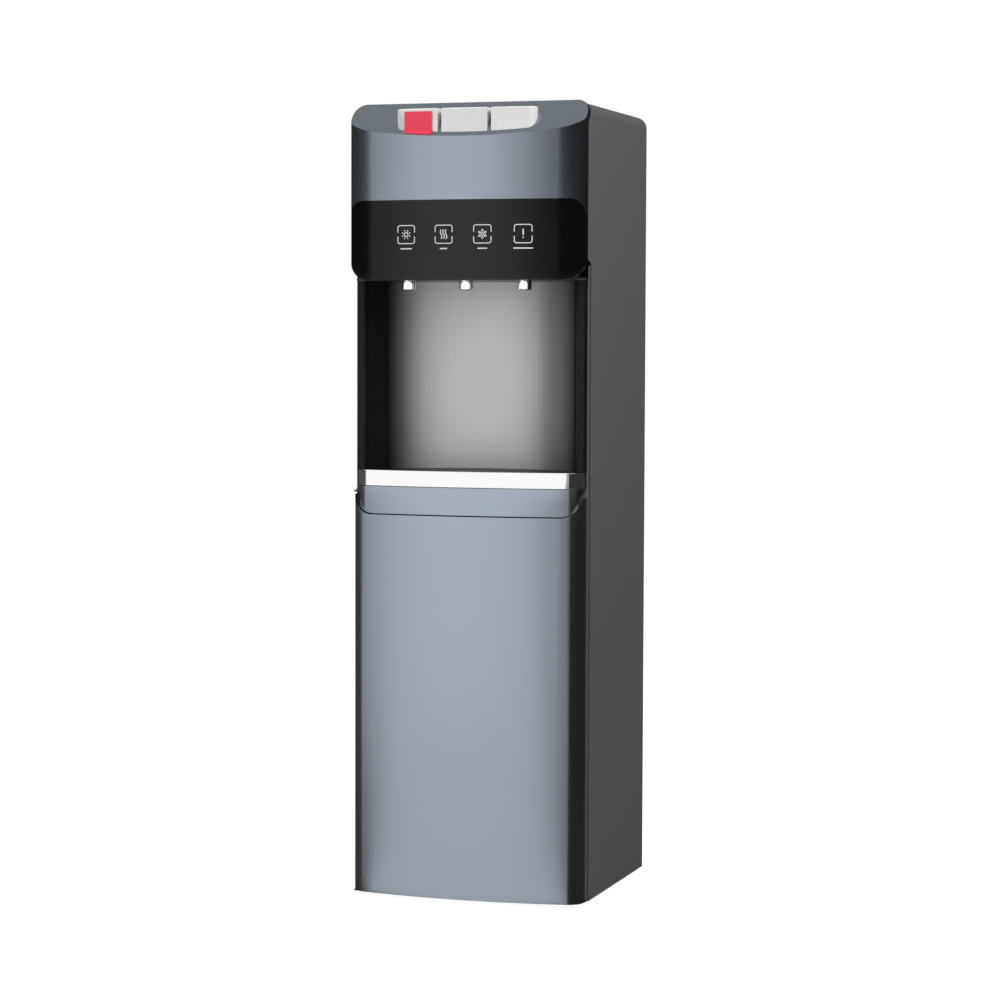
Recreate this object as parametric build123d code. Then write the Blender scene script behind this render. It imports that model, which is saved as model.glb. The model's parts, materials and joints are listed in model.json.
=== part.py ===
from build123d import *
import math
import os

# Free-standing bottom-loading water dispenser. Millimetres, X right, Y to the rear, Z up from the floor.

# Overall size
width = 320.0
body_depth = 316.0
condenser_depth = 28.0
foot_height = 8.0
foot_radius = 16.0
foot_taper = 3.0
foot_side = 35.0
foot_front = 77.0
foot_rear = 34.0

# Heights of the bands of the front, from the bottom up
door_lift = 0.4
door_height = 500.6
ear_rise = 26.0
fascia_height = 35.8
trim_height = 20.7
alcove_height = 247.8
panel_height = 104.0
hood_height = 127.0
crest_rise = 2.0

# Bowed front: radius of the bow, then how far each band stands behind the door and inside the cabinet
door_bow = 702.0
front_corner = 21.0
door_inset = 2.0
fascia_recess = 6.0
fascia_inset = 4.0
trim_recess = 7.8
trim_inset = 4.3
hood_bow = 1250.0
hood_corner = 110.0
hood_taper = 34.8
hood_edge = 7.0
hood_recess = 3.5
hood_overhang = 0.8

# Walls and clearances
sheet = 1.2
wall = 2.5
hood_wall = 4.0
panel_thickness = 2.0
seam = 0.5
seat_gap = 0.3
parting_gap = 1.2
running_gap = 0.05

# Cabinet wrap and front frame
wrap_corner = 17.0
shoulder_drop = 7.0
frame_front = 40.0
frame_flange = 6.5
frame_depth = 20.0
frame_inset = 0.8
frame_lip = 1.8
jamb = 18.0
sill_height = 11.0
base_thickness = 3.0
base_rim = 22.0
deck_drop = 5.0
deck_thickness = 2.0

# Door
ear_radius = 28.0
ear_thickness = 1.0
door_rear_gap = 2.2
pan_depth = 13.0
pan_margin = 40.0
hinge_inset = 3.5
hinge_pin = 2.0
hinge_boss = 3.3
hinge_leaf = 2.0
hinge_grip = 16.0
strike_thickness = 1.0

# Alcove and drip tray
pillar_width = 12.2
pillar_depth = 12.0
pillar_round = 5.5
shoulder_taper = 15.2
shoulder_depth = 77.0
alcove_depth = 143.0
steel_sheet = 1.0
liner_gap = 0.2
tray_gap = 1.5
tray_wall = 2.0
runner_height = 3.6
runner_width = 8.0
runner_margin = 30.0
runner_reach = 20.0
grille_thickness = 2.0
grille_drop = 1.7
slot_width = 4.0
slot_length = 96.0
slot_pitch = 11.0
slot_count = 21

# Hood, buttons and child lock
hood_top_round = 17.0
hood_low_round = 28.0
panel_top_round = 20.0
hood_rear = 31.0
trim_over = 0.02
board_gap = 6.0
board_thickness = 1.6
board_side = 8.0
board_rim = 7.0
board_lift = 8.0
peg_side = 88.0
peg_rise = 16.0
crest_setback = 40.0
slope = 1.25
button_top = 9.0
button_half = 31.0
button_gap = 5.5
button_row_half = 95.0
button_recess = 5.0
button_rear = 33.0
button_round = 10.0
button_edge = 1.5
button_skirt = 52.0
well_gap = 0.6
lock_left = -81.0
lock_width = 37.0
lock_thickness = 2.2
lock_top = 13.0
lock_margin = 0.4
lock_travel = 6.0

# Taps and spouts
spout_spacing = 79.0
spout_y = 20.0
spout_radius = 9.5
spout_drop = 12.7
tap_setback = 9.0
tap_radius = 10.0
tap_height = 53.0
chamber_radius = 7.0
rod_radius = 3.0
rod_gap = 0.2
spring_height = 28.0
spring_radius = 6.0
inlet_radius = 5.0
inlet_reach = 31.0
inlet_rise = 35.0
floor_plate = 3.0

# Rear side
coil_radius = 2.4
coil_pitch = 46.0
coil_passes = 13
coil_margin = 37.0
coil_drop = 30.0
wire = 1.4
wire_pitch = 10.0
wire_count = 23
wire_overhang = 20.0
riser_margin = 28.0
line_bend = 12.0
riser_rise = 14.0
vent_rows = 8
vent_pitch = 14.0
vent_length = 120.0
vent_width = 5.0
vent_rise = 60.0
switch_spacing = 13.0
switch_pin = 1.2
switch_depth = 8.0
drain_radius = 7.0
drain_bore = 4.0
drain_reach = 16.0
drain_flange = 3.0
drain_rise = 14.0
cap_end = 4.0
cap_wall = 4.0
cap_grooves = 12
gland_rise = 50.0
gland_radius = 7.0
gland_bore = 4.0
gland_lip = 4.0
switch_margin = 60.0
switch_drop = 41.0

# Pieces inside
shelf_drop = 63.0
shelf_flange = 18.0
compressor_radius = 62.0
compressor_height = 134.0
compressor_x = 20.0
compressor_gap = 66.0
compressor_port = 83.0
port_reach = 8.0
base_half_x = 72.0
base_half_y = 44.0
mount_height = 10.0
mount_radius = 9.0
mount_inset = 8.0
cold_radius = 68.0
cold_height = 206.0
hot_radius = 50.0
hot_height = 176.0
tank_margin = 8.5
tank_gap = 6.0
tank_wall = 3.0
tank_jacket = 12.0
spigot_reach = 10.0
feed_drop = 60.0
heater_rise = 38.0
heater_height = 40.0
heater_thickness = 3.0
tube_radius = 4.5
tube_bend = 18.0
line_radius = 3.0
riser_offset = 45.0
riser_gap = 14.0
bottle_radius = 135.0
pump_radius = 20.0
motor_radius = 18.0
pump_length = 28.0
motor_length = 42.0
pump_drop = 26.0
pump_gap = 42.5
pump_port = 27.0
probe_margin = 31.5
probe_gap = 20.0
probe_drop = 70.0
probe_pump = 28.0
cap_radius = 15.0
cap_height = 6.0
neck_radius = 11.0
neck_height = 12.0
clip_low = 90.0
clip_drop = 150.0
clip_height = 12.0
clip_half = 9.0
box_half = 34.0
box_rise = 24.0
box_depth = 46.0

# Places worked out from the sizes above
half = width / 2
rear_y = (body_depth - condenser_depth) / 2
front_y = rear_y - body_depth
door_bottom = foot_height + door_lift
door_top = door_bottom + door_height
ear_top = door_top + ear_rise
fascia_top = door_top + parting_gap + fascia_height
tray_rim = fascia_top + seam + trim_height
hood_bottom = tray_rim + alcove_height
panel_top = hood_bottom + panel_height
crest_z = panel_top + hood_height
cabinet_height = crest_z - crest_rise
shoulder_height = hood_bottom + hood_low_round
crest_y = front_y + crest_setback
hood_rear_y = front_y + hood_rear
hood_apex = front_y + hood_recess
hood_half = half + hood_overhang
hood_reach = (hood_half - hood_taper) * (hood_bow - hood_corner) / hood_bow
door_half = half - door_inset
frame_y = front_y + frame_front
frame_step_y = frame_y + frame_flange
frame_rear_y = frame_y + frame_depth
door_rear_y = frame_y - door_rear_gap
inner_half = half - sheet - seat_gap
rear_inner_y = rear_y - seat_gap - sheet
deck_height = fascia_top - deck_drop
deck_top = deck_height + deck_thickness
shelf_height = hood_bottom - shelf_drop
shelf_top = shelf_height + deck_thickness
hinge_x = hinge_inset - door_half
hinge_y = door_rear_y - hinge_inset + seam / 2
mouth_y = frame_step_y + liner_gap
alcove_mouth = half - frame_inset - frame_lip - pillar_width
alcove_shoulder = alcove_mouth - shoulder_taper
alcove_shoulder_y = front_y + shoulder_depth
alcove_apex = front_y + alcove_depth
tap_y = front_y + spout_y + tap_setback
nozzle_y = front_y + spout_y
inlet_y = tap_y + inlet_reach
inlet_z = hood_bottom + inlet_rise
board_y = hood_apex + hood_wall + board_gap
riser_x = half - riser_margin
coil_half = riser_x - coil_margin
coil_y = rear_y + condenser_depth - wire - coil_radius
coil_top = shelf_height - coil_drop
coil_bottom = coil_top - coil_pitch * (coil_passes - 1)
hot_x = hot_radius + tank_margin - inner_half
hot_y = rear_inner_y - hot_radius - 3 * tank_gap
cold_x = inner_half - tank_margin - cold_radius
cold_y = rear_inner_y - cold_radius - tank_gap
feed_z = shelf_top + cold_height - feed_drop
compressor_y = rear_inner_y - compressor_gap
shelf_front_y = alcove_apex + 2 * tank_gap


def area(x0, x1, y0, y1):
    return Pos((x0 + x1) / 2, (y0 + y1) / 2) * Rectangle(x1 - x0, y1 - y0)


def block(x0, x1, y0, y1, z0, z1):
    return Pos((x0 + x1) / 2, (y0 + y1) / 2, (z0 + z1) / 2) * Box(x1 - x0, y1 - y0, z1 - z0)


def rod_x(y, z, x0, x1, radius):
    return Pos((x0 + x1) / 2, y, z) * Rot(0, 90, 0) * Cylinder(radius, x1 - x0)


def rod_y(x, z, y0, y1, radius):
    return Pos(x, (y0 + y1) / 2, z) * Rot(90, 0, 0) * Cylinder(radius, y1 - y0)


def rod_z(x, y, z0, z1, radius):
    return Pos(x, y, (z0 + z1) / 2) * Cylinder(radius, z1 - z0)


def upright(face, bottom, top):
    """Raises a plan drawn in X and Y from bottom to top."""
    return Pos(0, 0, bottom) * extrude(face, top - bottom, dir=(0, 0, 1))


def frontal(face, near, far):
    """Carries a front view drawn in X and Z from Y near to Y far."""
    return Pos(0, far, 0) * extrude(Plane.XZ * face, far - near, dir=(0, -1, 0))


def sideways(face, left, right):
    """Carries a side view drawn in Y and Z from X left to X right."""
    return Pos(left, 0, 0) * extrude(Plane.YZ * face, right - left, dir=(1, 0, 0))


def bowed_plan(apex, bow, side, corner, rear):
    """Plan of a bowed front: straight flanks, tangent corner arcs and one bow through the apex."""
    reach = side - corner
    bow_centre = apex + bow
    corner_y = bow_centre - math.sqrt((bow - corner) ** 2 - reach ** 2)
    grow = bow / (bow - corner)
    end = (reach * grow, bow_centre + (corner_y - bow_centre) * grow)
    turn = math.atan2(corner_y - end[1], end[0] - reach) / 2
    middle = (reach + corner * math.cos(turn), corner_y - corner * math.sin(turn))
    far = max(rear, corner_y) + corner
    edges = [
        Line((-side, far), (-side, corner_y)),
        ThreePointArc((-side, corner_y), (-middle[0], middle[1]), (-end[0], end[1])),
        ThreePointArc((-end[0], end[1]), (0, apex), end),
        ThreePointArc(end, middle, (side, corner_y)),
        Line((side, corner_y), (side, far)),
        Line((side, far), (-side, far)),
    ]
    return make_face(edges) & area(-2 * side, 2 * side, apex - corner, rear)


def door_plan(inset, rear):
    return bowed_plan(front_y + inset, door_bow - inset, door_half - inset, front_corner - inset, rear)


def hood_plan(inset, rear):
    """Plan of the hood: a bow that turns away toward its ends, and short flanks with a small corner."""
    corner = hood_corner - inset
    side = hood_half - inset
    plan = bowed_plan(hood_apex + inset, hood_bow - inset, hood_reach + corner, corner, rear)
    plan &= area(-side, side, front_y, rear)
    ends = [v for v in plan.vertices() if abs(v.X) > side - seam]
    ends.sort(key=lambda v: v.Y)
    return fillet(ends[:2], hood_edge - inset)


def band_plan(recess, side_inset, inset, rear):
    side = half - side_inset - inset
    return bowed_plan(front_y + recess + inset, door_bow - inset, side, front_corner - inset, rear)


def rounded_front(side, low, high, low_round, high_round):
    """Front view of a panel with rounded lower and upper corners."""
    face = area(-side, side, low, high)
    corners = face.vertices().sort_by(Axis.Y)
    face = fillet(corners[:2], low_round) if low_round else face
    corners = face.vertices().sort_by(Axis.Y)
    return fillet(corners[-2:], high_round) if high_round else face


def tube(points, bend, radius):
    """Round tube along straight runs joined by tangent arcs."""
    path = FilletPolyline(*points, radius=bend)
    section = Plane(origin=path @ 0, z_dir=path % 0) * Circle(radius)
    return sweep(section, path)


# Cabinet

def base_pan():
    rear = rear_inner_y - seat_gap
    front = frame_rear_y + seam
    side = inner_half - wall
    plate = block(-inner_half, inner_half, frame_y, rear, foot_height, sill_height)
    rim = block(-inner_half, inner_half, front, rear, sill_height, sill_height + base_rim)
    hollow = block(-side, side, frame_rear_y, rear - wall, sill_height, sill_height + base_rim)
    ring = rod_z(0, 0, sill_height, sill_height + base_thickness, bottle_radius)
    ring -= rod_z(0, 0, sill_height, sill_height + base_thickness, bottle_radius - 3 * wall)
    ring &= block(-half, half, front, rear, foot_height, cabinet_height)
    return plate + (rim - hollow) + ring


def feet():
    x = half - foot_side
    spots = [(sx * x, y) for sx in (-1, 1) for y in (front_y + foot_front, rear_y - foot_rear)]
    foot = Pos(0, 0, foot_height / 2) * Cone(foot_radius - foot_taper, foot_radius, foot_height)
    return Part() + [Pos(px, py, 0) * foot for px, py in spots]


def cabinet_wrap():
    outer = rounded_front(half, foot_height, cabinet_height, 0, wrap_corner)
    inner = rounded_front(half - sheet, foot_height - wall, cabinet_height - sheet, 0, wrap_corner - sheet)
    shoulder_y = hood_rear_y + seam
    front = front_y + frame_front + frame_flange + wall
    side = Polyline(
        (rear_y, foot_height),
        (front, foot_height),
        (front, shoulder_height - shoulder_drop),
        (shoulder_y, shoulder_height),
        (shoulder_y, crest_z - 30),
        (crest_y + 2 * seam, crest_z - hood_top_round + seam),
        (crest_y + 2 * seam, crest_z),
        (rear_y, crest_z),
        close=True,
    )
    return frontal(outer - inner, front_y, rear_y) & sideways(make_face(side), -half, half)


def front_frame():
    low = sill_height
    high = shoulder_height - shoulder_drop - wall
    rear_half = inner_half - seat_gap
    flange_half = half - frame_inset
    rear = block(-rear_half, rear_half, frame_step_y, frame_rear_y, low, high)
    flange = block(-flange_half, flange_half, frame_y, frame_step_y, low, high)
    opening = half - jamb
    lintel = door_top - ear_rise / 2 + 4
    compartment = block(-opening, opening, frame_y, frame_rear_y, sill_height + base_rim / 2, lintel)
    throat = alcove_mouth + liner_gap + steel_sheet + wall + seam
    alcove = block(-throat, throat, frame_step_y, frame_rear_y, deck_height, high)
    alcove += block(frame_lip - flange_half, flange_half - frame_lip, frame_y, frame_step_y, fascia_top, high)
    ceiling = block(-rear_half, rear_half, frame_y, frame_rear_y, hood_bottom, high)
    magnet = magnet_place(seat_gap / 2)
    return rear + flange - compartment - alcove - ceiling - magnet


def magnet_place(grow):
    x = half - jamb / 2 - 1
    z = (door_bottom + door_top) / 2
    near = frame_y - door_rear_gap + strike_thickness + seat_gap
    wide = 6 + grow
    tall = 16 + grow
    return block(x - wide, x + wide, near, frame_step_y + grow, z - tall, z + tall)


def door_magnet():
    return magnet_place(0)


def rear_panel():
    corner = wrap_corner - sheet - seat_gap
    outline = rounded_front(inner_half, sill_height, cabinet_height - sheet - seat_gap, 0, corner)
    plate = frontal(outline, rear_inner_y, rear_inner_y + sheet)
    through = (rear_inner_y - wall, rear_y + wall)
    for x, z, radius in panel_holes():
        plate -= rod_y(x, z, *through, radius)
    x, z = switch_place()
    plate -= block(x - 27, x + 27, *through, z - 17, z + 17)
    for row in range(vent_rows):
        z = shelf_height + vent_rise + vent_pitch * row
        plate -= frontal(Pos(0, z) * SlotOverall(vent_length, vent_width), *through)
    return plate


def panel_holes():
    """Centre and radius of each round hole in the rear panel."""
    lines = [(-riser_x, coil_top + riser_rise, coil_radius + 1), (riser_x, coil_top, coil_radius + 1)]
    return lines + [(*drain_place(), drain_radius + seat_gap), (*gland_place(), gland_radius + seat_gap)]


def drain_place():
    return hot_x, shelf_top + drain_rise


def gland_place():
    return riser_x, deck_top + gland_rise


def switch_place():
    return half - switch_margin, crest_z - switch_drop


def deck_plate():
    front = frame_rear_y + seam
    plate = block(-inner_half, inner_half, front, rear_inner_y - seat_gap, deck_height, deck_top)
    throat = alcove_mouth + liner_gap + steel_sheet + wall
    plate += block(-throat, throat, frame_step_y, front, deck_height, deck_top)
    for side in (-1, 1):
        x = side * (alcove_shoulder - runner_margin)
        span = (x - runner_width / 2, x + runner_width / 2, frame_step_y, alcove_shoulder_y + runner_reach)
        plate += block(*span, deck_top, deck_top + runner_height)
    return plate - rod_z(*riser_place(), deck_height, deck_top, tube_radius + seat_gap)


def riser_place():
    return compressor_x - riser_offset, rear_inner_y - riser_gap


def tank_shelf():
    rear = rear_inner_y - seat_gap
    plate = block(-inner_half, inner_half, shelf_front_y, rear, shelf_height, shelf_top)
    for side in (-1, 1):
        edge = sorted((side * inner_half, side * (inner_half - sheet)))
        plate += block(*edge, shelf_front_y, rear, shelf_top, shelf_top + shelf_flange)
    return plate - rod_z(*riser_place(), shelf_height, shelf_top, tube_radius + seat_gap)


# Door and its hinge

def ear_notch(drop):
    """Front view of the space above the door, with the door's rounded ears left at both ends."""
    side = door_half - ear_thickness + drop
    return rounded_front(side, door_top - drop, cabinet_height, ear_radius + drop, 0)


def door_shell():
    shell = upright(door_plan(0, door_rear_y), door_bottom, ear_top)
    return shell - frontal(ear_notch(0), front_y - wall, rear_y)


def hinge_axis(z0, z1, radius):
    return rod_z(hinge_x, hinge_y, z0, z1, radius)


def door_outer():
    whole = door_shell()
    hollow = upright(door_plan(wall, door_rear_y + wall), door_bottom + wall, ear_top + wall)
    hollow -= frontal(ear_notch(wall), front_y - wall, rear_y)
    boss = hinge_axis(door_bottom, door_bottom + wall + hinge_grip, hinge_boss)
    boss += hinge_axis(door_top - hinge_grip, ear_top, hinge_boss)
    bore = hinge_axis(door_bottom, door_bottom + hinge_grip, hinge_pin + running_gap)
    bore += hinge_axis(door_top - hinge_grip + wall, ear_top, hinge_pin + running_gap)
    return (whole - hollow) + (boss & whole) - bore


def door_inner():
    left = hinge_x + hinge_boss + 2 * seam
    right = door_half - wall - liner_gap
    low = door_bottom + wall + liner_gap
    high = door_top - wall - liner_gap
    plate = area(left, right, low, high)
    pan = area(left + pan_margin, right - pan_margin, low + pan_margin, high - pan_margin)
    pan = fillet(pan.vertices(), 5 * wall)
    front = door_rear_y - wall - pan_depth
    floor = offset(pan, amount=wall)
    skin = frontal(plate, door_rear_y - wall, door_rear_y) + frontal(floor, front, door_rear_y - wall)
    return skin - frontal(pan, front + wall, door_rear_y)


def strike_plate():
    x = half - jamb / 2 - 1
    z = (door_bottom + door_top) / 2
    return block(x - 7, x + 5, door_rear_y, door_rear_y + strike_thickness, z - 20, z + 20)


def lower_hinge():
    low = foot_height - hinge_leaf
    leaf = block(-half + sheet, hinge_x + 24, hinge_y - 5, frame_rear_y - seam, low, foot_height)
    return leaf + hinge_axis(low, door_bottom + hinge_grip - wall, hinge_pin)


def upper_hinge():
    low = ear_top + wall
    leaf = block(-half + frame_inset, hinge_x + 8, hinge_y - 5, frame_y, low, low + hinge_leaf)
    leaf += block(-half + frame_inset, hinge_x + 8, frame_y - hinge_leaf, frame_y, low, low + 2 * hinge_leaf)
    return leaf + hinge_axis(door_top - hinge_grip + 2 * wall, low + hinge_leaf, hinge_pin)


# Fascia, alcove and drip tray

def fascia():
    low = door_top + parting_gap
    side = half - fascia_inset
    reach = door_half - ear_thickness - ear_radius
    radius = ear_radius - parting_gap
    skin = rounded_front(reach + radius, low, fascia_top, radius, 0)
    core = rounded_front(reach + radius - wall, low + wall, fascia_top - wall, radius - wall, 0)
    whole = upright(band_plan(fascia_recess, fascia_inset, 0, frame_y), low, fascia_top)
    hollow = upright(band_plan(fascia_recess, fascia_inset, wall, frame_y + wall), low, fascia_top)
    shell = (whole & frontal(skin, front_y, rear_y)) - (hollow & frontal(core, front_y, rear_y))
    for sign in (-1, 1):
        edge = sorted((sign * (side - 16), sign * half))
        shell -= block(*edge, hinge_y - 8, rear_y, low - wall, ear_top + 3 * wall)
    return shell


def pillar(sign):
    inner = alcove_mouth
    outer = inner + pillar_width
    face = area(*sorted((sign * inner, sign * outer)), frame_step_y - pillar_depth, frame_step_y)
    front = face.vertices().sort_by(Axis.Y)[:2]
    return upright(fillet(front, pillar_round), tray_rim + 2 * seam, hood_bottom)


def alcove_plan(grow):
    """Plan of the alcove's inside: two straight side walls and a concave back, grown outwards."""
    mouth = (alcove_mouth + grow, mouth_y)
    shoulder = (alcove_shoulder + grow, alcove_shoulder_y)
    edges = [
        Line((-mouth[0], mouth_y), (-shoulder[0], shoulder[1])),
        ThreePointArc((-shoulder[0], shoulder[1]), (0, alcove_apex + grow), shoulder),
        Line(shoulder, mouth),
        Line(mouth, (-mouth[0], mouth_y)),
    ]
    return make_face(edges)


def alcove_back():
    face = alcove_plan(steel_sheet) - alcove_plan(0)
    face &= area(-half, half, alcove_shoulder_y + seam, rear_y)
    return upright(face, deck_top, hood_bottom)


def alcove_liner():
    inside = steel_sheet + liner_gap
    return upright(alcove_plan(inside + wall) - alcove_plan(inside), deck_top, hood_bottom)


def tray_plan(inset):
    """Plan of the drip tray: bowed at the front, following the alcove behind."""
    front = band_plan(trim_recess + wall + liner_gap, trim_inset + wall + liner_gap, inset, mouth_y)
    side = alcove_mouth - tray_gap - inset
    front &= area(-side, side, front_y, mouth_y)
    return front + alcove_plan(-tray_gap - inset)


def drip_tray():
    low = deck_top + runner_height + seat_gap
    ledge = tray_rim - grille_drop - grille_thickness
    shell = upright(tray_plan(0), low, tray_rim - 2 * seam)
    shell -= upright(tray_plan(2 * tray_wall), low + tray_wall, ledge)
    return shell - upright(tray_plan(tray_wall), ledge, tray_rim)


def tray_trim():
    low = fascia_top + seam
    face = band_plan(trim_recess, trim_inset, 0, frame_y) - band_plan(trim_recess, trim_inset, wall, frame_y)
    return upright(face, low, tray_rim)


def drip_grille():
    top = tray_rim - grille_drop
    plate = upright(tray_plan(tray_wall + seat_gap), top - grille_thickness, top)
    middle = (front_y + trim_recess + alcove_apex) / 2
    for index in range(slot_count):
        x = (index - (slot_count - 1) / 2) * slot_pitch
        length = slot_length - 0.0035 * x * x
        slot = Pos(x, middle - 0.0012 * x * x) * Rot(0, 0, 90) * SlotOverall(length, slot_width)
        plate -= upright(slot, top - grille_thickness, top)
    return plate


# Hood

def hood_side():
    """Side view that ends the hood where the cabinet's wrap begins."""
    outline = Polyline(
        (front_y, hood_bottom),
        (hood_rear_y, hood_bottom),
        (hood_rear_y, crest_z - 30),
        (crest_y + seam, crest_z - hood_top_round + seam),
        (crest_y + seam, crest_z),
        (front_y, crest_z),
        close=True,
    )
    return make_face(outline)


def above_slope(drop):
    """Side view of everything above the slanted top, lowered square to it by drop."""
    top = crest_z - drop * math.hypot(1, slope)
    run = 2 * crest_setback
    near = crest_y - run
    far = crest_y + run
    high = crest_z + 2 * run
    points = [(far, top + slope * run), (near, top - slope * run), (near, high), (far, high)]
    return make_face(Polyline(*points, close=True))


def hood_form(inset, rear):
    """Solid inside the hood's outer skin, moved in by inset on every side."""
    low = hood_bottom + inset
    high = crest_z - inset
    side = hood_half - inset + trim_over
    face = rounded_front(side, low, high, hood_low_round - inset, hood_top_round - inset)
    form = upright(hood_plan(inset, rear), low, high) & frontal(face, front_y, rear_y)
    return form - sideways(above_slope(inset), -hood_half, hood_half)


def button_plan(index, grow):
    """Plan of one button: bowed front, and round outer corners on the end buttons."""
    spans = {-1: (-button_row_half, -button_half - button_gap), 0: (-button_half, button_half)}
    low, high = spans.get(index, (button_half + button_gap, button_row_half))
    rear = front_y + button_rear + grow
    face = hood_plan(button_recess - grow, rear) & area(low - grow, high + grow, front_y, rear)
    if index:
        ends = face.vertices().sort_by(Axis.X)
        face = fillet(ends[:2] if index < 0 else ends[-2:], button_round + grow)
    return face


def hood_cover():
    shell = hood_form(0, rear_y) - hood_form(hood_wall, rear_y + wall)
    shell &= sideways(hood_side(), -hood_half, hood_half)
    mouth = half - hood_low_round - 1
    floor = hood_plan(hood_wall, rear_y) & area(-mouth, mouth, front_y, rear_y)
    shell -= upright(floor, hood_bottom - wall, hood_bottom + hood_wall + wall)
    shell -= panel_form(panel_thickness + liner_gap)
    for index in (-1, 0, 1):
        shell -= upright(button_plan(index, well_gap), crest_z - crest_setback * slope - 15, crest_z)
    for x, z in board_pegs():
        peg = rod_y(x, z, front_y, board_y, 3)
        shell += peg & hood_form(panel_thickness + wall / 2, rear_y)
    return shell


def panel_form(depth):
    """Bowed sheet over the lower front of the hood, down to a given depth below its face."""
    face = rounded_front(hood_half + trim_over, hood_bottom, panel_top, hood_low_round, panel_top_round)
    band = hood_plan(0, hood_rear_y) - hood_plan(depth, hood_rear_y)
    return upright(band, hood_bottom, panel_top) & frontal(face, front_y, rear_y)


def control_panel():
    return panel_form(panel_thickness)


def board_pegs():
    middle = (hood_bottom + panel_top) / 2 + board_lift
    return [(sx * peg_side, middle + sz * peg_rise) for sx in (-1, 1) for sz in (-1, 1)]


def indicator_board():
    pegs = board_pegs()
    x = max(peg[0] for peg in pegs) + board_side
    low = min(peg[1] for peg in pegs) - board_rim
    high = max(peg[1] for peg in pegs) + board_rim
    return block(-x, x, board_y, board_y + board_thickness, low, high)


def spout_plate():
    mouth = half - hood_low_round - 1 - seat_gap
    rear = hood_rear_y + wall
    front = hood_plan(hood_wall + seat_gap, rear) & area(-mouth, mouth, front_y, rear)
    side = inner_half - frame_inset - 2 * seat_gap
    low, high = hood_bottom, hood_bottom + floor_plate
    plate = upright(front, low, high)
    plate += block(-side, side, rear, alcove_shoulder_y, low, high)
    plate += upright(alcove_plan(wall + steel_sheet + liner_gap), low, high)
    for x in tap_places():
        plate -= rod_z(x, nozzle_y, low, high, nipple_radius() + seat_gap)
    return plate


# Buttons and taps

def tap_places():
    return [-spout_spacing, 0, spout_spacing]


def nipple_radius():
    return spout_radius - 2 * wall + 1.5


def button(index):
    low = crest_z - button_skirt
    top = crest_z - button_top
    block_form = upright(button_plan(index, 0), low, top)
    cap = fillet(block_form.faces().sort_by(Axis.Z)[-1].edges(), button_edge)
    hollow = upright(offset(button_plan(index, 0), amount=-tray_wall), low, top - tray_wall)
    boss = rod_z(tap_places()[index + 1], tap_y, low, top - tray_wall, rod_radius + tray_wall)
    return cap - hollow + (boss & block_form)


def slope_z(y):
    return crest_z + (y - crest_y) * slope


def child_lock():
    """Tab in front of the hot button, with a lip that lies along the slope as far as the hood's edge."""
    edge = lock_left + lock_width
    bow = hood_bow - math.sqrt(hood_bow ** 2 - edge ** 2)
    back = hood_apex + button_recess + bow - seat_gap - lock_slack()
    face = back - lock_thickness
    tip = hood_apex - lock_thickness
    above = 2 * seat_gap
    high = crest_z - lock_top
    outline = Polyline(
        (back, high),
        (face, high),
        (face, slope_z(face) + above + lock_thickness),
        (tip, slope_z(tip) + above + lock_thickness),
        (tip, slope_z(tip) + above),
        (back, slope_z(back) + above),
        close=True,
    )
    tab = sideways(make_face(outline), lock_left, lock_left + lock_width)
    return tab & upright(hood_plan(lock_margin, crest_y), hood_bottom, crest_z)


def lock_slack():
    """Room for the bow between the lock's two ends, which its flat back has to clear."""
    inner = abs(lock_left + lock_width) - lock_travel
    return inner * lock_travel / hood_bow


def push_rod(x):
    low = hood_bottom + floor_plate + 19
    collar = hood_bottom + floor_plate + tap_height + spring_height
    rod = rod_z(x, tap_y, low, crest_z - button_skirt, rod_radius)
    rod += rod_z(x, tap_y, low, low + 3.5, chamber_radius - 1.5)
    return rod + rod_z(x, tap_y, collar, collar + 3, spring_radius + 0.5)


def return_spring(x):
    low = hood_bottom + floor_plate + tap_height
    ring = Circle(spring_radius) - Circle(rod_radius + 3 * rod_gap)
    return Pos(x, tap_y, low) * extrude(ring, spring_height)


def tap_body(x):
    low = hood_bottom + floor_plate
    high = low + tap_height
    body = rod_z(x, tap_y, low, high, tap_radius)
    body += rod_z(x, nozzle_y, low - 12, low + 8, nipple_radius())
    body += rod_y(x, inlet_z, tap_y, inlet_y, inlet_radius)
    body -= rod_z(x, tap_y, low + 28, high - 6, chamber_radius)
    body -= rod_z(x, tap_y, low + 6, low + 23, chamber_radius)
    body -= rod_z(x, tap_y, low + 23, low + 28, rod_radius + 1.2)
    body -= rod_z(x, tap_y, high - 6, high, rod_radius + rod_gap)
    body -= rod_z(x, nozzle_y + 2, low - 12, low + 7, inlet_radius - 2)
    return body - rod_y(x, inlet_z, tap_y, inlet_y, inlet_radius - 2)


def spout(x):
    tip = Pos(x, nozzle_y, hood_bottom - spout_drop / 2) * Cylinder(spout_radius, spout_drop)
    tip = chamfer(tip.faces().sort_by(Axis.Z)[0].edges(), 1)
    return tip - rod_z(x, nozzle_y, hood_bottom - spout_drop, hood_bottom, nipple_radius() + running_gap)


# Rear side

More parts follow.
